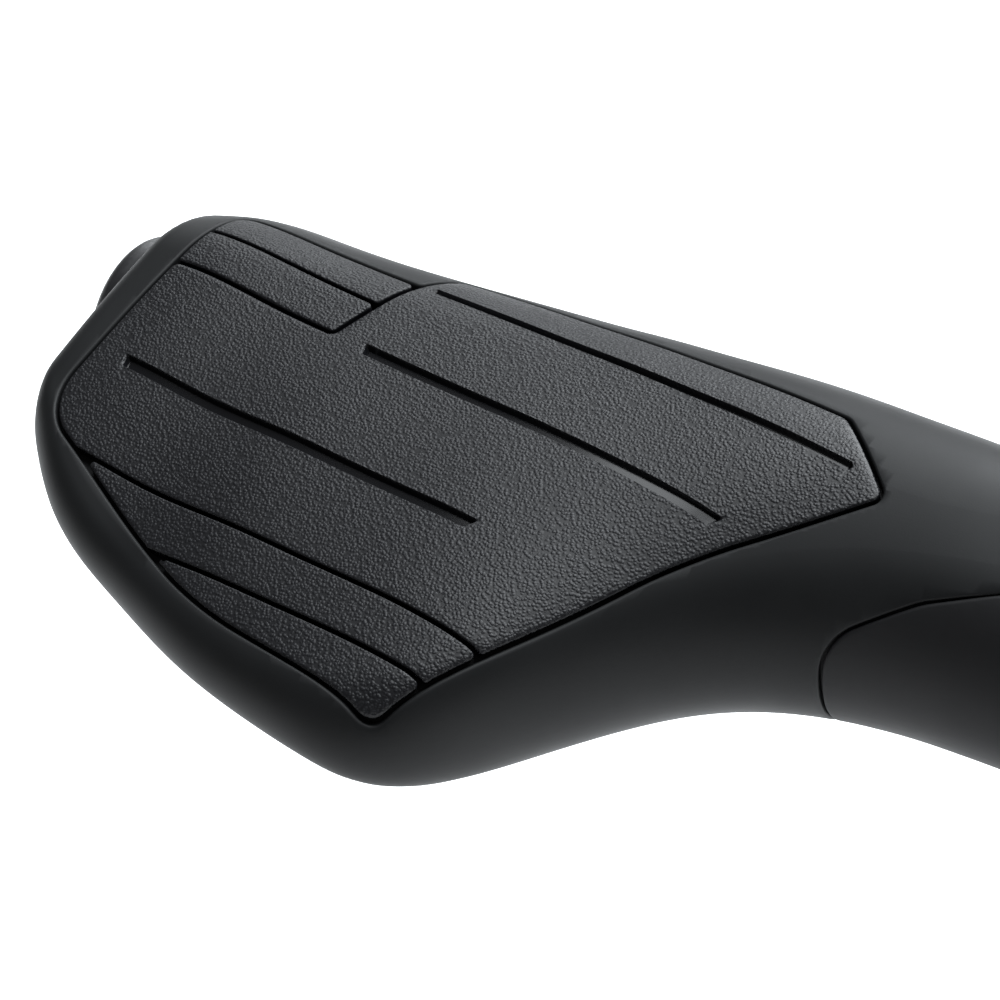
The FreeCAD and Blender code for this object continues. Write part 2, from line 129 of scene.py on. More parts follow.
def turned(profile, steps):
    # a profile of (x, radius) points, from axis to axis, spun once round the bar's axis
    bm = bmesh.new()
    verts = [bm.verts.new((x, radius, 0)) for x, radius in profile]
    edges = [bm.edges.new(pair) for pair in zip(verts, verts[1:])]
    bmesh.ops.spin(bm, geom=verts + edges, cent=origin, axis=(1, 0, 0), angle=2 * math.pi,
                   steps=steps, use_merge=True)
    bmesh.ops.remove_doubles(bm, verts=bm.verts, dist=0.0005)
    bmesh.ops.recalc_face_normals(bm, faces=bm.faces)
    return bm


def arcPoints(cx, cy, radius, start, finish, steps):
    turns = [math.radians(start + (finish - start) * i / steps) for i in range(steps + 1)]
    return [(cx + radius * math.cos(t), cy + radius * math.sin(t)) for t in turns]


def softStep(low, high, value):
    t = min(max((value - low) / (high - low), 0), 1)
    return t * t * (3 - 2 * t)


def flexedCurve(xs, ys):
    # natural cubic curve through the stations
    xs, ys = np.array(xs, float), np.array(ys, float)
    n = len(xs)
    gap = np.diff(xs)
    grid, side = np.zeros((n, n)), np.zeros(n)
    grid[0, 0] = grid[-1, -1] = 1
    for i in range(1, n - 1):
        grid[i, i - 1:i + 2] = gap[i - 1], 2 * (gap[i - 1] + gap[i]), gap[i]
        side[i] = 6 * ((ys[i + 1] - ys[i]) / gap[i] - (ys[i] - ys[i - 1]) / gap[i - 1])
    bend = np.linalg.solve(grid, side)

    def value(x):
        i = int(min(max(np.searchsorted(xs, x) - 1, 0), n - 2))
        h = gap[i]
        a, b = (xs[i + 1] - x) / h, (x - xs[i]) / h
        curve = (a ** 3 - a) * bend[i] + (b ** 3 - b) * bend[i + 1]
        return float(a * ys[i] + b * ys[i + 1] + curve * h * h / 6)
    return value


# Procedural materials, all on Object coordinates in metres.
def startMaterial(name, colour, roughness, metallic=0.0, specular=0.5):
    material = bpy.data.materials.new(name)
    material.use_nodes = True
    tree = material.node_tree
    shader = tree.nodes["Principled BSDF"]
    shader.inputs["Base Color"].default_value = (*colour, 1)
    shader.inputs["Roughness"].default_value = roughness
    shader.inputs["Metallic"].default_value = metallic
    shader.inputs["Specular IOR Level"].default_value = specular
    place = tree.nodes.new("ShaderNodeTexCoord").outputs["Object"]
    return material, tree, shader, place


def noiseFrom(tree, vector, scale, detail=2.0):
    node = tree.nodes.new("ShaderNodeTexNoise")
    node.inputs["Scale"].default_value = scale
    node.inputs["Detail"].default_value = detail
    tree.links.new(vector, node.inputs["Vector"])
    return node


def rangeFrom(tree, value, low, high, toLow, toHigh, soft=False):
    node = tree.nodes.new("ShaderNodeMapRange")
    if soft:
        node.interpolation_type = "SMOOTHSTEP"
    limits = {"From Min": low, "From Max": high, "To Min": toLow, "To Max": toHigh}
    for key, number in limits.items():
        node.inputs[key].default_value = number
    tree.links.new(value, node.inputs["Value"])
    return node.outputs["Result"]


def mixColours(tree, factor, first, second):
    node = tree.nodes.new("ShaderNodeMix")
    node.data_type = "RGBA"
    node.inputs[6].default_value = (*first, 1)
    node.inputs[7].default_value = (*second, 1)
    tree.links.new(factor, node.inputs["Factor"])
    return node.outputs[2]


def bumpFrom(tree, height, distance, strength=1.0):
    node = tree.nodes.new("ShaderNodeBump")
    node.inputs["Distance"].default_value = distance
    node.inputs["Strength"].default_value = strength
    tree.links.new(height, node.inputs["Height"])
    return node.outputs["Normal"]


rubberValues = {
    "dark": (0.0055, 0.0058, 0.0062),
    "light": (0.0095, 0.0100, 0.0105),
    "roughness": 0.52,
    "roughSpread": 0.05,
    "gloss": 0.15,
    "grainScale": 5200.0,
    "grainDepth": 0.000012,
    "cloudScale": 70.0,
    "cloudDetail": 4.0,
    "bumpStrength": 0.5,
}


def smoothRubber(name, v):
    material, tree, shader, place = startMaterial(name, v["dark"], v["roughness"],
                                                  specular=v["gloss"])
    fine = noiseFrom(tree, place, v["grainScale"]).outputs["Fac"]
    cloud = noiseFrom(tree, place, v["cloudScale"], v["cloudDetail"]).outputs["Fac"]
    tree.links.new(mixColours(tree, cloud, v["dark"], v["light"]), shader.inputs["Base Color"])
    spread = v["roughSpread"]
    rough = rangeFrom(tree, cloud, 0.3, 0.7, v["roughness"] - spread, v["roughness"] + spread)
    tree.links.new(rough, shader.inputs["Roughness"])
    grain = bumpFrom(tree, fine, v["grainDepth"], v["bumpStrength"])
    tree.links.new(grain, shader.inputs["Normal"])
    return material


padValues = {
    "dark": (0.0043, 0.0044, 0.0054),
    "light": (0.0096, 0.0098, 0.0116),
    "roughness": 0.46,
    "edgeRoughness": 0.2,
    "gloss": 0.24,
    "roughSpread": (-0.04, 0.05),
    "cellScale": 2700.0,
    "cellSmoothness": 0.4,
    "cellDome": (0.12, 0.72),
    "grainDepth": 0.00006,
    "warp": 0.00022,
    "warpScale": 0.45,
    "cloudScale": 60.0,
    "cloudDetail": 4.0,
}


def grainedRubber(name, v):
    # pebbled leather grain that fades out on the bevels and in the grooves
    material, tree, shader, place = startMaterial(name, v["dark"], v["roughness"],
                                                  specular=v["gloss"])
    warp = noiseFrom(tree, place, v["cellScale"] * v["warpScale"]).outputs["Color"]
    shift = tree.nodes.new("ShaderNodeVectorMath")
    shift.operation = "MULTIPLY_ADD"
    shift.inputs[1].default_value = (v["warp"], v["warp"], v["warp"])
    tree.links.new(warp, shift.inputs[0])
    tree.links.new(place, shift.inputs[2])
    cells = tree.nodes.new("ShaderNodeTexVoronoi")
    cells.feature = "SMOOTH_F1"
    cells.inputs["Scale"].default_value = v["cellScale"]
    cells.inputs["Smoothness"].default_value = v["cellSmoothness"]
    tree.links.new(shift.outputs["Vector"], cells.inputs["Vector"])
    dome = rangeFrom(tree, cells.outputs["Distance"], *v["cellDome"], 1.0, 0.0, soft=True)
    mask = tree.nodes.new("ShaderNodeAttribute")
    mask.attribute_name = "grain"
    height = tree.nodes.new("ShaderNodeMath")
    height.operation = "MULTIPLY"
    tree.links.new(dome, height.inputs[0])
    tree.links.new(mask.outputs["Fac"], height.inputs[1])
    grain = height.outputs["Value"]
    cloud = noiseFrom(tree, place, v["cloudScale"], v["cloudDetail"]).outputs["Fac"]
    tree.links.new(mixColours(tree, grain, v["dark"], v["light"]), shader.inputs["Base Color"])
    matt = rangeFrom(tree, cloud, 0.3, 0.7, *[v["roughness"] + d for d in v["roughSpread"]])
    rough = tree.nodes.new("ShaderNodeMapRange")
    rough.inputs["To Min"].default_value = v["edgeRoughness"]
    tree.links.new(mask.outputs["Fac"], rough.inputs["Value"])
    tree.links.new(matt, rough.inputs["To Max"])
    tree.links.new(rough.outputs["Result"], shader.inputs["Roughness"])
    tree.links.new(bumpFrom(tree, grain, v["grainDepth"]), shader.inputs["Normal"])
    return material


plasticValues = {
    "capPlastic": {"dark": (0.007, 0.007, 0.008), "light": (0.012, 0.012, 0.013),
                   "roughness": 0.42, "grainScale": 2400.0, "grainDepth": 0.00003},
    "sleeveNylon": {"dark": (0.012, 0.012, 0.013), "light": (0.022, 0.022, 0.023),
                    "roughness": 0.5, "grainScale": 1600.0, "grainDepth": 0.00004},
    "cloudScale": 90.0,
    "cloudDetail": 5.0,
    "grainDetail": 3.0,
    "roughSpread": 0.06,
    "bumpStrength": 0.6,
}


def mouldedPlastic(name):
    common, v = plasticValues, plasticValues[name]
    spread = common["roughSpread"]
    material, tree, shader, place = startMaterial(name, v["dark"], v["roughness"])
    fine = noiseFrom(tree, place, v["grainScale"], common["grainDetail"]).outputs["Fac"]
    cloud = noiseFrom(tree, place, common["cloudScale"], common["cloudDetail"]).outputs["Fac"]
    tree.links.new(mixColours(tree, cloud, v["dark"], v["light"]), shader.inputs["Base Color"])
    rough = rangeFrom(tree, fine, 0.35, 0.65, v["roughness"] - spread, v["roughness"] + spread)
    tree.links.new(rough, shader.inputs["Roughness"])
    grain = bumpFrom(tree, fine, v["grainDepth"], common["bumpStrength"])
    tree.links.new(grain, shader.inputs["Normal"])
    return material


metalValues = {
    # the marks are fine along the part's own axis and long across it
    "anodised": {"dark": (0.035, 0.036, 0.038), "light": (0.055, 0.056, 0.058),
                 "roughness": 0.38, "marks": (9000.0, 300.0, 300.0)},
    "boltSteel": {"dark": (0.42, 0.42, 0.43), "light": (0.52, 0.52, 0.52),
                  "roughness": 0.3, "marks": (300.0, 9000.0, 300.0)},
    "marksDetail": 3.0,
    "marksDepth": 0.00001,
    "cloudScale": 240.0,
    "cloudDetail": 4.0,
    "roughSpread": (-0.08, 0.1),
    "bumpStrength": 0.5,
}


def turnedMetal(name):
    common, v = metalValues, metalValues[name]
    smoothest, roughest = [v["roughness"] + d for d in common["roughSpread"]]
    material, tree, shader, place = startMaterial(name, v["dark"], v["roughness"], metallic=1.0)
    stretch = tree.nodes.new("ShaderNodeMapping")
    stretch.inputs["Scale"].default_value = v["marks"]
    tree.links.new(place, stretch.inputs["Vector"])
    marks = noiseFrom(tree, stretch.outputs["Vector"], 1.0, common["marksDetail"]).outputs["Fac"]
    cloud = noiseFrom(tree, place, common["cloudScale"], common["cloudDetail"]).outputs["Fac"]
    tree.links.new(mixColours(tree, cloud, v["dark"], v["light"]), shader.inputs["Base Color"])
    rough = rangeFrom(tree, marks, 0.3, 0.7, smoothest, roughest)
    tree.links.new(rough, shader.inputs["Roughness"])
    lathe = bumpFrom(tree, marks, common["marksDepth"], common["bumpStrength"])
    tree.links.new(lathe, shader.inputs["Normal"])
    return material


fingerLook = {"dark": (0.008, 0.008, 0.0085), "light": (0.013, 0.013, 0.014), "roughness": 0.58}
gripRubber = smoothRubber("gripRubber", rubberValues)
fingerRubber = smoothRubber("fingerRubber", {**rubberValues, **fingerLook})
padRubber = grainedRubber("padRubber", padValues)
capPlastic = mouldedPlastic("capPlastic")
sleeveNylon = mouldedPlastic("sleeveNylon")
anodised = turnedMetal("anodised")
boltSteel = turnedMetal("boltSteel")
print("materials done")


# The grip's form: sections across the bar, with a smooth curve through each of their sizes.
formValues = {
    # rows of: share of the wing's length, tube radius, reach behind the bar, edge radius,
    # edge height, crown radius
    "stations": [
        (0.00, 14.60, 26.026, 6.4, 4.0, 202.5),
        (0.10, 16.80, 36.516, 5.8, 1.0, 172.5),
        (0.23, 16.60, 43.528, 5.2, -2.0, 154.5),
        (0.36, 16.30, 49.288, 5.1, -2.8, 150.0),
        (0.46, 16.40, 52.308, 5.6, -3.0, 198.0),
        (0.54, 16.50, 53.813, 6.5, -3.2, 220.5),
        (0.60, 16.60, 53.626, 7.8, -3.6, 225.0),
        (0.66, 16.80, 50.280, 9.2, -3.5, 262.5),
        (0.74, 16.90, 39.902, 10.9, -2.8, 157.5),
        (0.84, 17.00, 28.100, 12.5, -1.6, 57.0),
        (0.96, 16.50, 21.000, 14.0, -0.8, 45.0),
    ],
    "inboardEnd": (15.00, 18.90, 14.4, -0.8, 45.0),
    "wingLength": 102.0,
    "hollowRadius": 58.0,
    "endRounding": 4.2,
    "endSteps": 12,
    "mouthRounding": 0.5,
    "mouthSteps": 5,
    "ringStep": 0.8,
    "pointsPerArc": (18, 40, 22, 26, 18),
}
f = formValues
skinLow, skinHigh = [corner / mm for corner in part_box("grip_body")]
faceX, endX = skinLow.x, skinHigh.x
stationX = [faceX + row[0] * f["wingLength"] for row in f["stations"]] + [endX]
formCurves = [flexedCurve(stationX, [row[k + 1] for row in f["stations"]] + [f["inboardEnd"][k]])
              for k in range(5)]
sectionStore = {}


def between(centreA, radiusA, centreB, radiusB, radius, crown):
    # centre of the arc that touches both circles: round them from outside, or hollow below them
    sign = -1 if crown else 1
    a, b = radius + sign * radiusA, radius + sign * radiusB
    line = centreB - centreA
    gap = line.length
    part = (a * a - b * b + gap * gap) / (2 * gap)
    across = math.sqrt(a * a - part * part)
    line.normalize()
    side = Vector((-line.y, line.x))
    if side.y > 0:
        side = -side
    return centreA + line * part + side * across


def sectionAt(x):
    key = round(x, 4)
    if key not in sectionStore:
        tube, reach, edge, droop, dome = [curve(x) for curve in formCurves]
        axis, tip = Vector((0.0, 0.0)), Vector((-(reach - edge), droop))
        crown = between(axis, tube, tip, edge, dome, True)
        hollow = between(axis, tube, tip, edge, f["hollowRadius"], False)
        sectionStore[key] = tube, edge, dome, axis, tip, crown, hollow
    return sectionStore[key]


def angleOf(a, b):
    return math.atan2(b.y - a.y, b.x - a.x)


def gripRing(x, inset=0.0):
    # the closed section at x, from the front over the top to the wing and back underneath
    tube, edge, dome, axis, tip, crown, hollow = sectionAt(x)
    tubeTop, tipTop = angleOf(crown, axis), angleOf(crown, tip)
    tubeLow, tipLow = angleOf(axis, hollow), angleOf(tip, hollow) % (2 * math.pi)
    backTip, backTube = angleOf(hollow, tip), angleOf(hollow, axis)
    arcs = [
        (axis, tube - inset, 0.0, tubeTop),
        (crown, dome - inset, tubeTop, tipTop),
        (tip, edge - inset, tipTop, tipLow),
        (hollow, f["hollowRadius"] + inset, backTip, backTube),
        (axis, tube - inset, tubeLow, 0.0),
    ]
    points = []
    for (centre, radius, start, finish), count in zip(arcs, f["pointsPerArc"]):
        for i in range(count):
            turn = start + (finish - start) * i / count
            points.append(Vector((x, centre.x + radius * math.cos(turn),
                                  centre.y + radius * math.sin(turn))))
    return points


def roundRing(x, radius):
    count = sum(f["pointsPerArc"])
    turns = [2 * math.pi * i / count for i in range(count)]
    return [Vector((x, radius * math.cos(t), radius * math.sin(t))) for t in turns]


def topHeight(x, y):
    # height of the upper skin above the bar's axis at a place in plan
    tube, edge, dome, axis, tip, crown, _ = sectionAt(min(max(x, faceX), endX))
    top = (axis - crown).normalized() * dome + crown
    low = (tip - crown).normalized() * dome + crown
    centre, radius = crown, dome
    if y > top.x:
        centre, radius = axis, tube
    elif y < low.x:
        centre, radius = tip, edge
    return centre.y + math.sqrt(max(radius ** 2 - (y - centre.x) ** 2, 0.01))


def onTop(x, y):
    d = 0.05
    rise = Vector((topHeight(x - d, y) - topHeight(x + d, y),
                   topHeight(x, y - d) - topHeight(x, y + d), 2 * d))
    return Vector((x, y, topHeight(x, y))), rise.normalized()


def formRings():
    # rings along the bar, with both ends rounded over
    rounding, mouth = f["endRounding"], f["mouthRounding"]
    rings = []
    for i in range(f["endSteps"]):
        turn = math.radians(90 * i / f["endSteps"])
        rings.append(gripRing(faceX + rounding * (1 - math.cos(turn)),
                              rounding * (1 - math.sin(turn))))
    start, finish = faceX + rounding, endX - mouth
    count = int((finish - start) / f["ringStep"])
    rings += [gripRing(start + (finish - start) * i / count) for i in range(count + 1)]
    for i in range(1, f["mouthSteps"] + 1):
        turn = math.radians(90 * i / f["mouthSteps"])
        rings.append(gripRing(endX - mouth * (1 - math.sin(turn)), mouth * (1 - math.cos(turn))))
    return rings


skinTree = BVHTree.FromBMesh(loftRings(formRings()))
neckUnit = 16.0


def onNeck(x, angle):
    # the skin straight out from the bar's axis, the angle counted from underneath
    inside = min(max(x, faceX + 5), endX - 1.0)
    across = Vector((0, math.sin(angle), -math.cos(angle)))
    hit, _, _, _ = skinTree.ray_cast(Vector((inside, 0, 0)), across)
    return Vector((x, hit.y, hit.z))


def onNeckWithNormal(x, arc):
    # arc is the length round the neck, measured at the radius neckUnit
    angle, d = arc / neckUnit, 0.02
    here = onNeck(x, angle)
    a = onNeck(x + 20 * d, angle) - onNeck(x - 20 * d, angle)
    b = onNeck(x, angle + d) - onNeck(x, angle - d)
    normal = a.cross(b).normalized()
    if normal.dot(Vector((0, here.y, here.z))) < 0:
        normal = -normal
    return here, normal


print("grip form done")


# Plates are modelled flat as (x, y, height) and then laid on the form.
def planLoop(corners, sideStep=0.8, arcSteps=10):
    # returns a function that gives the rounded outline, moved in by an amount for each side
    count = len(corners)
    base = [Vector((x, y)) for x, y, _ in corners]
    area = sum(a.x * b.y - b.x * a.y for a, b in zip(base, base[1:] + base[:1]))
    sign = 1 if area > 0 else -1

    def loop(insets, counts=None):
        if not hasattr(insets, "__len__"):
            insets = [insets] * count
        sides = []
        for i in range(count):
            along = (base[(i + 1) % count] - base[i]).normalized()
            sides.append((base[i] + Vector((-along.y, along.x)) * sign * insets[i], along))
        moved = []
        for i in range(count):
            (p, d), (q, e) = sides[i - 1], sides[i]
            cross = d.x * e.y - d.y * e.x
            moved.append(p + d * (((q - p).x * e.y - (q - p).y * e.x) / cross))
        arcs = []
        for i in range(count):
            here, d, e = moved[i], sides[i - 1][1], sides[i][1]
            convex = (d.x * e.y - d.y * e.x) * sign > 0
            shrink = (insets[i - 1] + insets[i]) / 2
            radius = max(corners[i][2] - (shrink if convex else -shrink), 0.1)
            half = (-d).angle(e) / 2
            centre = here + (e - d).normalized() * radius / math.sin(half)
            first = here - d * radius / math.tan(half) - centre
            last = here + e * radius / math.tan(half) - centre
            turn = math.atan2(first.x * last.y - first.y * last.x, first.dot(last))
            points = []
            for k in range(arcSteps + 1):
                t = turn * k / arcSteps
                points.append(centre + Vector((first.x * math.cos(t) - first.y * math.sin(t),
                                               first.x * math.sin(t) + first.y * math.cos(t))))
            arcs.append(points)
        lengths = [(arcs[(i + 1) % count][0] - arcs[i][-1]).length for i in range(count)]
        if counts is None:
            return [max(1, int(length / sideStep)) for length in lengths]
        points = []
        for i in range(count):
            points += arcs[i]
            start, finish = arcs[i][-1], arcs[(i + 1) % count][0]
            points += [start.lerp(finish, k / counts[i]) for k in range(1, counts[i])]
        return points

    steps = loop(0.0)
    return lambda insets: loop(insets, steps)


def flatPlate(corners, profile, cuts):
    # profile: (inset, height) from the underside to the top; cuts: (x, y, nx, ny) lines in plan
    outline = planLoop(corners)
    rings = [[Vector((p.x, p.y, height)) for p in outline(inset)] for inset, height in profile]
    bm = loftRings(rings)
    caps = [face for face in bm.faces if len(face.verts) > 8]
    geometry = set(caps)
    for face in caps:
        geometry.update(face.verts)
        geometry.update(face.edges)
    for x, y, nx, ny in cuts:
        result = bmesh.ops.bisect_plane(bm, geom=list(geometry), plane_co=(x, y, 0),
                                        plane_no=(nx, ny, 0), dist=0.00001)
        geometry = {g for g in result["geom"] if g.is_valid}
    return bm


def gridCuts(corners, step, lines, slopeOf):
    # lines across the plan at each step, and along the slope between the given lines
    xs = [c[0] for c in corners]
    count = int((max(xs) - min(xs)) / step)
    cuts = [(min(xs) + i * step, 0, 1, 0) for i in range(1, count + 1)]
    normal = Vector((slopeOf, 1)).normalized()
    low = min(c[1] + slopeOf * c[0] for c in corners)
    high = max(c[1] + slopeOf * c[0] for c in corners)
    taken = list(lines)
    level = low + step
    while level < high:
        if all(abs(level - line) > step * 0.4 for line in lines):
            taken.append(level)
        level += step
    return cuts + [(0, level, normal.x, normal.y) for level in taken]


def layOn(bm, place):
    for vert in bm.verts:
        base, normal = place(vert.co.x, vert.co.y)
        vert.co = base + normal * vert.co.z
    if bm.calc_volume(signed=True) < 0:
        bmesh.ops.reverse_faces(bm, faces=bm.faces)
    return bm


def roundedEdge(widths, depth, bottom, steps=6):
    # profile of a pad: wall up from the bottom, then a quarter round to its top
    count = len(widths)
    rings = [([0.0] * count, bottom), ([0.0] * count, -depth)]
    for i in range(1, steps + 1):
        turn = math.radians(90 * i / steps)
        share = 1 - math.cos(turn)
        rings.append(([w * share for w in widths], -depth * (1 - math.sin(turn))))
    return rings


# The inserts' layout in plan. Lines are distances in front of the bar's axis at the end face,
# and they all lean back by the slope towards the neck.
layout = {
    "slope": 8.0,
    "frontLine": 14.2,
    "stripFront": 7.8,
    "stripParting": 1.7,
    "stripRear": -4.7,
    "heelUpper": -31.4,
    "heelLower": -37.3,
    "jointLean": 0.4,
    "jointShare": 0.3196,
    "padGap": 0.36,
    "partingGap": 0.2,
    "depth": 1.6,
    "lip": 0.36,
    "edgeWidth": 0.4,
    "partingEdge": 0.22,
    "edgeDepth": 0.34,
    "jointBevel": 1.9,
    "tipBevel": 1.7,
    "turnBevel": 0.7,
    "gridStep": 1.2,
    # corners of the whole insert: share of the wing's length, place across, corner radius
    "stripCorner": (0.09, 2.5),
    "rearCorners": ((0.047, -29.5, 8.0), (0.363, -46.2, 60.0), (0.63, -52.4, 3.2),
                    (0.838, -21.6, 50.0), (1.0, -7.8, 1.4)),
    "frontCorner": (0.918, 2.0),
    "jointCorners": (("frontLine", 2.0), ("stripFront", 1.0)),
    # corner radii of single inserts
    "crossingRadius": 0.7,
    "palmRearRadius": 1.2,
    "palmTurnRadius": 1.0,
    "stripTurnRadius": 0.8,
}
lay = layout
slope = math.tan(math.radians(lay["slope"]))


def alongX(share):
    return faceX + share * f["wingLength"]


def lineY(offset, x):
    return offset - slope * (x - faceX)


jointX = alongX(lay["jointShare"])
jointY = lineY(lay["stripRear"], jointX)


def onJoint(offset):
    start = jointX - faceX - lay["jointLean"] * jointY
    y = (offset - slope * start) / (1 + slope * lay["jointLean"])
    return jointX + lay["jointLean"] * (y - jointY), y


stripShare, stripRadius = lay["stripCorner"]
frontShare, frontRadius = lay["frontCorner"]
stripX, frontX = alongX(stripShare), alongX(frontShare)
outline = [(stripX, lineY(lay["stripFront"], stripX), stripRadius)]
outline += [(alongX(share), y, radius) for share, y, radius in lay["rearCorners"]]
outline += [(frontX, lineY(lay["frontLine"], frontX), frontRadius)]
outline += [(*onJoint(lay[line]), radius) for line, radius in lay["jointCorners"]]


def crossing(side, offset, radius=lay["crossingRadius"]):
    # where a groove line meets one side of the outline
    (x1, y1, _), (x2, y2, _) = outline[side], outline[(side + 1) % len(outline)]
    a, b = y1 - lineY(offset, x1), y2 - lineY(offset, x2)
    t = a / (a - b)
    return x1 + (x2 - x1) * t, y1 + (y2 - y1) * t, radius


def lineCut(offset):
    return offset + slope * faceX


# The palm pad's grooves.
grooveValues = [
    # line, start and end as shares of the wing's length, width, lean of the end
    {"line": -19.6, "start": 0.108, "end": 0.614, "width": 1.3, "lean": 0.75},
    {"line": -4.9, "start": 0.368, "end": 0.846, "width": 1.3, "lean": 0.9},
    {"line": 7.9, "start": 0.385, "end": 0.950, "width": 0.8, "lean": 0.3},
]
grooveShape = {
    "depth": 0.8,
    "startLean": 0.2,
    "wall": (-0.18, 0.16),
    "run": (-0.15, 0.5),
    "wallCuts": (0.16, 0.05, -0.06, -0.18),
    "runCuts": (-0.5, -0.35, -0.2, 0.0, 0.15, 0.3, 0.5),
}


def grooveAt(x, y):
    # depth of the grooves at a place in plan
    depth = 0.0
    inner, outer = grooveShape["wall"]
    for g in grooveValues:
        across = y - lineY(g["line"], x)
        half = g["width"] / 2
        wall = 1 - softStep(half + inner, half + outer, abs(across))
        fromStart = x - alongX(g["start"]) + grooveShape["startLean"] * across
        toEnd = alongX(g["end"]) - x + g["lean"] * across
        ends = softStep(*grooveShape["run"], fromStart) * softStep(*grooveShape["run"], toEnd)
        depth = max(depth, wall * ends)
    return depth * grooveShape["depth"]


def grooveCuts():
    # lines that the pad's grid needs along each groove's walls and across its ends
    levels, ends = [], []
    for g in grooveValues:
        half = g["width"] / 2
        shifts = [-half - cut for cut in grooveShape["wallCuts"]] + [0]
        shifts += [half + cut for cut in reversed(grooveShape["wallCuts"])]
        levels += [lineCut(g["line"] + shift) for shift in shifts]
        for share, lean in ((g["start"], grooveShape["startLean"]), (g["end"], -g["lean"])):
            x = alongX(share)
            y = lineY(g["line"], x)
            ends += [(x + shift, y, 1, lean) for shift in grooveShape["runCuts"]]
    return levels, ends


def makePad(name, corners, insets, widths, grooved=False):
    levels, ends = grooveCuts() if grooved else ([], [])
    cuts = gridCuts(corners, lay["gridStep"], levels, slope) + ends
    profile = []
    for moved, height in roundedEdge(widths, lay["edgeDepth"], -lay["depth"]):
        profile.append(([a + b for a, b in zip(insets, moved)], height))
    bm = flatPlate(corners, profile, cuts)
    # the grain is full on the flat top and fades out down the bevels and in the grooves
    grain = bm.verts.layers.float.new("grain")
    for vert in bm.verts:
        if vert.co.z > -0.001 and grooved:
            vert.co.z -= grooveAt(vert.co.x, vert.co.y)
        vert[grain] = softStep(-0.3, -0.02, vert.co.z)
    layOn(bm, onTop)
    return newObject(name, bm, padRubber, "root", [name])


edge, fine = lay["edgeWidth"], lay["partingEdge"]
gap, parting = lay["padGap"], lay["partingGap"]
stripTurn = lay["stripTurnRadius"]
upper, lower, rear = lay["heelUpper"], lay["heelLower"], lay["stripRear"]
palmCorners = [crossing(0, rear, lay["palmRearRadius"]), outline[1], crossing(1, upper),
               crossing(3, upper), outline[4], outline[5], outline[6], outline[7],
               (jointX, jointY, lay["palmTurnRadius"])]
makePad("palm_pad", palmCorners,
        [gap, gap, parting, gap, gap, gap, gap, parting, parting],
        [edge, edge, fine, edge, edge, lay["tipBevel"], edge, lay["jointBevel"],
         lay["turnBevel"]], True)
partingStart = crossing(0, lay["stripParting"])
partingEnd = (*onJoint(lay["stripParting"]), stripTurn)
makePad("outer_pad_front", [outline[0], partingStart, partingEnd, outline[8]],
        [gap, parting, parting, gap], [edge, fine, edge, edge])
makePad("outer_pad_rear",
        [partingStart, crossing(0, rear), (jointX, jointY, stripTurn), partingEnd],
        [gap, parting, parting, parting], [edge, edge, edge, fine])
makePad("heel_pad_upper",
        [crossing(1, upper), crossing(1, lower), crossing(3, lower), crossing(3, upper)],
        [gap, parting, gap, parting], [edge, fine, edge, fine])
makePad("heel_pad_lower", [crossing(1, lower), outline[2], outline[3], crossing(3, lower)],
        [gap, gap, gap, parting], [edge, edge, edge, fine])
print("pads done")


# The rubber overmould: the form with its bore, the cap's seat and the recesses cut out.
bodyValues = {
    "boreRadius": 13.0,
    "stopRadius": 12.1,
    "pilotRadius": 5.0,
    "seatGap": 0.2,
    "seatPast": (-5.0, 0.5),
    "lipSlant": 0.25,
    "lipRise": 0.14,
    "toolTop": 1.2,
    "lipSteps": 5,
}
b = bodyValues


def flaredWall(depth, lip, steps, slant, rise, top):
    # a recess tool's profile: straight wall, then a turned lip and a slanted mouth
    wall = [(0.0, -depth), (0.0, -lip)]
    for i in range(1, steps + 1):
        turn = math.radians(60 * i / steps)
        wall.append((-lip * (1 - math.cos(turn)), -lip * (1 - math.sin(turn))))
    mouth = wall[-1][0] - slant
    return wall + [(mouth, wall[-1][1] + rise), (mouth, top)]


capLow, capHigh = [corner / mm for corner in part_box("end_cap")]
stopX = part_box("core_sleeve")[0].x / mm
seatRadius = capHigh.y + b["seatGap"]
rings = [roundRing(0.0, b["stopRadius"]), roundRing(stopX, b["stopRadius"]),
         roundRing(stopX, b["pilotRadius"]), roundRing(faceX, b["pilotRadius"])]
rings += formRings()
rings += [roundRing(endX, b["boreRadius"]), roundRing(0.0, b["boreRadius"])]
gripBody = newObject("grip_skin", loftRings(rings, closed=True), gripRubber)
seatEnds = [roundRing(x + past, seatRadius) for x, past in zip((faceX, stopX), b["seatPast"])]
booleanCut(gripBody, newObject("seatTool", loftRings(seatEnds), None))

wall = flaredWall(lay["depth"], lay["lip"], b["lipSteps"], b["lipSlant"], b["lipRise"],
                  b["toolTop"])
tool = flatPlate(outline, wall, gridCuts(outline, lay["gridStep"], (), slope))
booleanCut(gripBody, newObject("recessTool", layOn(tool, onTop), None))

fingerValues = {
    "length": 21.4,
    "depth": 1.2,
    "gap": 0.3,
    "bendShare": 0.42,
    "riseShare": 0.62,
    "lowRise": 3.0,
    "highRise": 12.6,
    "radii": (16.4, 15.9, 15.1),
    "corners": (6.0, 12.0, 0.3),
    "rearSide": 0.86,
    "mouthPast": 1.0,
    "lip": 0.3,
    "lipSteps": 4,
    "lipSlant": 0.2,
    "lipRise": 0.12,
    "toolTop": 1.0,
    "gridStep": 1.2,
    "gridReach": 42.0,
    "edgeWidth": 0.45,
    "edgeDepth": 0.35,
}
v = fingerValues
start = endX - v["length"]
middle = v["lowRise"] + (v["highRise"] - v["lowRise"]) * v["riseShare"]
rows = list(zip((start, start + v["length"] * v["bendShare"], endX + v["mouthPast"]),
                (v["lowRise"], middle, v["highRise"]), v["radii"], v["corners"]))
fingerCorners = []
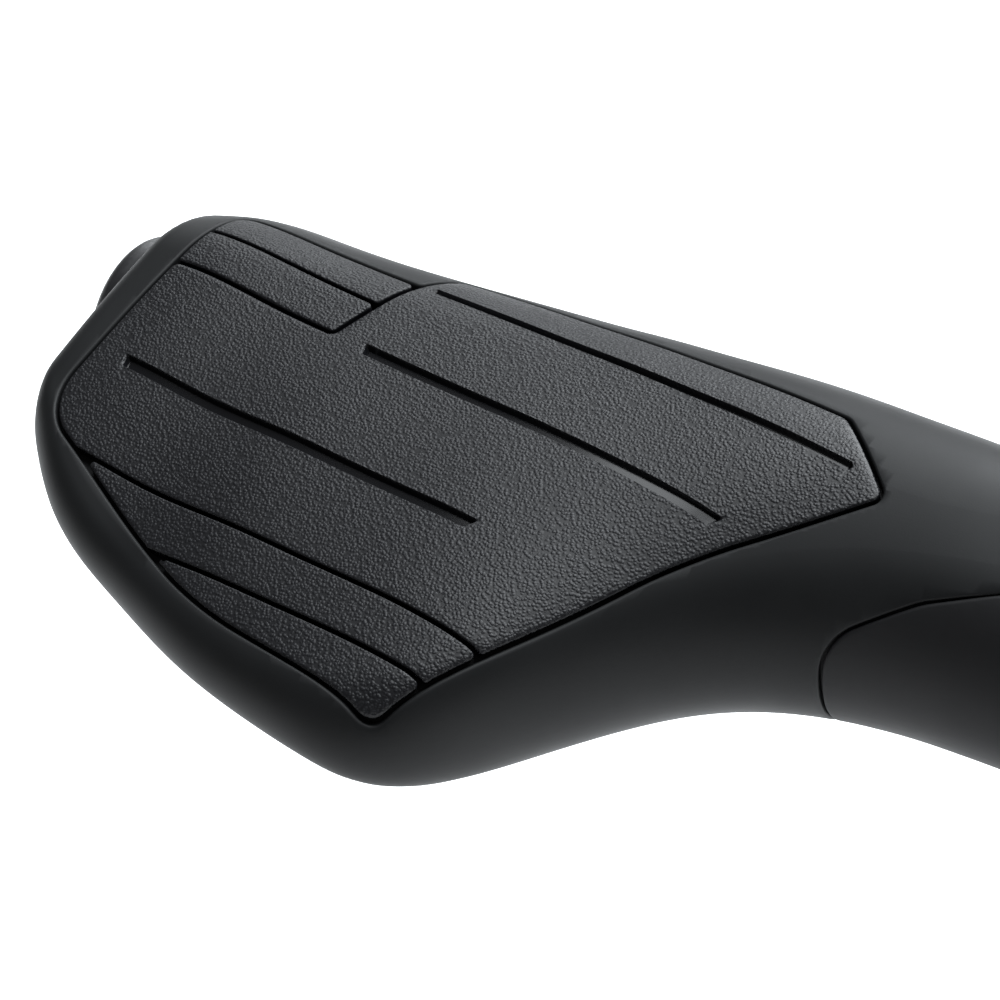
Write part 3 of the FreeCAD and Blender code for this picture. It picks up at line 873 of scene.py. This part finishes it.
for side, tilt in ((1, 1.0), (-1, v["rearSide"])):
    corners = [(x, side * neckUnit * (math.pi / 2 + tilt * math.asin(z / r)), rounding)
               for x, z, r, rounding in rows]
    fingerCorners += corners if side > 0 else corners[::-1]
step, reach = v["gridStep"], v["gridReach"]
fingerCuts = [(x, 0, 1, 0) for x in np.arange(start + step, endX + 1, step)]
fingerCuts += [(0, y, 0, 1) for y in np.arange(-reach, reach + 0.1, step)]
wall = flaredWall(v["depth"], v["lip"], v["lipSteps"], v["lipSlant"], v["lipRise"], v["toolTop"])
tool = flatPlate(fingerCorners, wall, fingerCuts)
booleanCut(gripBody, newObject("fingerTool", layOn(tool, onNeckWithNormal), None))
finishPiece(gripBody, "root", ["grip_body"])
print("grip body done:", len(gripBody.data.polygons), "faces")


# The finger insert fills its recess but for the gap, and ends flush with the neck's mouth.
corners = [(min(x, endX), y, r) for x, y, r in fingerCorners]
gaps = [v["gap"]] * len(corners)
gaps[2] = 0
profile = [([g + w for g, w in zip(gaps, moved)], height)
           for moved, height in roundedEdge([v["edgeWidth"]] * len(corners), v["edgeDepth"],
                                            -v["depth"])]
bm = flatPlate(corners, profile, fingerCuts)
newObject("finger_wrap", layOn(bm, onNeckWithNormal), fingerRubber, "root",
          ["finger_insert"])
print("finger insert done")


# The end cap: a dished face, a round rim and a hollow plug, in one closed profile.
capValues = {
    "edge": 2.6,
    "edgeSteps": 8,
    "dishRadius": 7.6,
    "dishDepth": 0.35,
    # share of the dish's depth, distance past its radius
    "dishEdge": ((1.0, -0.5), (0.5, -0.15), (0.0, 0.2)),
    "seatGap": 0.05,
    "rimChamfer": 0.15,
    "plugRadius": 8.52,
    "plugWall": 1.3,
    "plugChamfer": 0.3,
    "steps": 128,
    "crease": 30,
}
c = capValues
radius, faceAt, plugEnd = capHigh.y, capLow.x, capHigh.x
inner = stopX - c["seatGap"]
plugInside = c["plugRadius"] - c["plugWall"]
profile = [(faceAt + c["dishDepth"], 0.0)]
profile += [(faceAt + c["dishDepth"] * share, c["dishRadius"] + past)
            for share, past in c["dishEdge"]]
profile += arcPoints(faceAt + c["edge"], radius - c["edge"], c["edge"], 180, 90, c["edgeSteps"])
profile += [
    (inner - c["rimChamfer"], radius),
    (inner, radius - c["rimChamfer"]),
    (inner, c["plugRadius"]),
    (plugEnd - c["plugChamfer"], c["plugRadius"]),
    (plugEnd, c["plugRadius"] - c["plugChamfer"]),
    (plugEnd, plugInside),
    (inner, plugInside),
    (inner, 0.0),
]
newObject("cap_disc", turned(profile, c["steps"]), capPlastic, "cap", ["end_cap"],
          c["crease"])
print("end cap done")


# The sleeve, ring, washer and bolt keep their CAD shape and get a material.
hardware = {
    "core_sleeve": sleeveNylon,
    "clamp_ring": anodised,
    "bolt_washer": boltSteel,
    "clamp_bolt": boltSteel,
}
for node, material in hardware.items():
    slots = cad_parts[node].data.materials
    slots.clear()
    slots.append(material)
print("hardware done")


# Camera, floor and light. Lengths are in millimetres, the softboxes' sizes in metres.
stageValues = {
    "azimuth": 31.33,
    "elevation": 36.52,
    "roll": -1.59,
    "target": (51.9, -11.06, 0.0),
    "distance": 320.35,
    "lens": 100.0,
    "floorBelow": 90.0,
    "floorSize": 3000.0,
    "floorColour": (0.9, 0.9, 0.9),
    "floorGlow": 0.3,
    "lightColour": (0.93, 0.97, 1.0),
    "lightAim": (50, -10, 0),
    # place, size, power
    "softboxes": {
        "overhead": ((170, 350, 850), (0.9, 0.9), 21),
        "behind": ((250, 750, 480), (0.9, 0.5), 11),
        "backLeft": ((-470, 690, 310), (0.35, 0.35), 1.5),
    },
    "surround": 0.13,
}
s = stageValues
azimuth, elevation, roll = [math.radians(s[k]) for k in ("azimuth", "elevation", "roll")]
back = Vector((math.sin(azimuth) * math.cos(elevation), -math.cos(azimuth) * math.cos(elevation),
               math.sin(elevation)))
level = Vector((math.cos(azimuth), math.sin(azimuth), 0))
upward = back.cross(level)
right = math.cos(roll) * level + math.sin(roll) * upward
upright = -math.sin(roll) * level + math.cos(roll) * upward
location = Vector(s["target"]) + back * s["distance"]
pose = Matrix((right, upright, back)).transposed().to_4x4()
pose.translation = location * mm
cameraData = bpy.data.cameras.new("camera")
cameraData.lens = s["lens"]
cameraData.sensor_width = 36.0
cameraData.clip_start = 0.01
camera = bpy.data.objects.new("camera", cameraData)
camera.matrix_world = pose
bpy.context.scene.collection.objects.link(camera)
bpy.context.scene.camera = camera

bm = bmesh.new()
bmesh.ops.create_grid(bm, x_segments=1, y_segments=1, size=s["floorSize"])
bmesh.ops.translate(bm, verts=bm.verts, vec=(0, 0, cadBox[0][2] / mm - s["floorBelow"]))
floorMaterial, tree, shader, _ = startMaterial("floorPaint", s["floorColour"], 0.9, specular=0.1)
shader.inputs["Emission Color"].default_value = (1, 1, 1, 1)
shader.inputs["Emission Strength"].default_value = s["floorGlow"]
floor = newObject("floor", bm, floorMaterial)


def softbox(name, place, size, power):
    light = bpy.data.lights.new(name, "AREA")
    light.shape = "RECTANGLE"
    light.size, light.size_y = size
    light.energy = power
    light.color = s["lightColour"]
    obj = bpy.data.objects.new(name, light)
    spot = Vector(place) * mm
    obj.location = spot
    obj.rotation_euler = (spot - Vector(s["lightAim"]) * mm).to_track_quat("Z", "Y").to_euler()
    bpy.context.scene.collection.objects.link(obj)


for name, (place, size, power) in s["softboxes"].items():
    softbox(name, place, size, power)
world = bpy.data.worlds.new("studio")
world.use_nodes = True
world.node_tree.nodes["Background"].inputs["Color"].default_value = (1, 1, 1, 1)
world.node_tree.nodes["Background"].inputs["Strength"].default_value = s["surround"]
bpy.context.scene.world = world
bpy.context.scene.view_settings.view_transform = "Standard"
print("stage done")
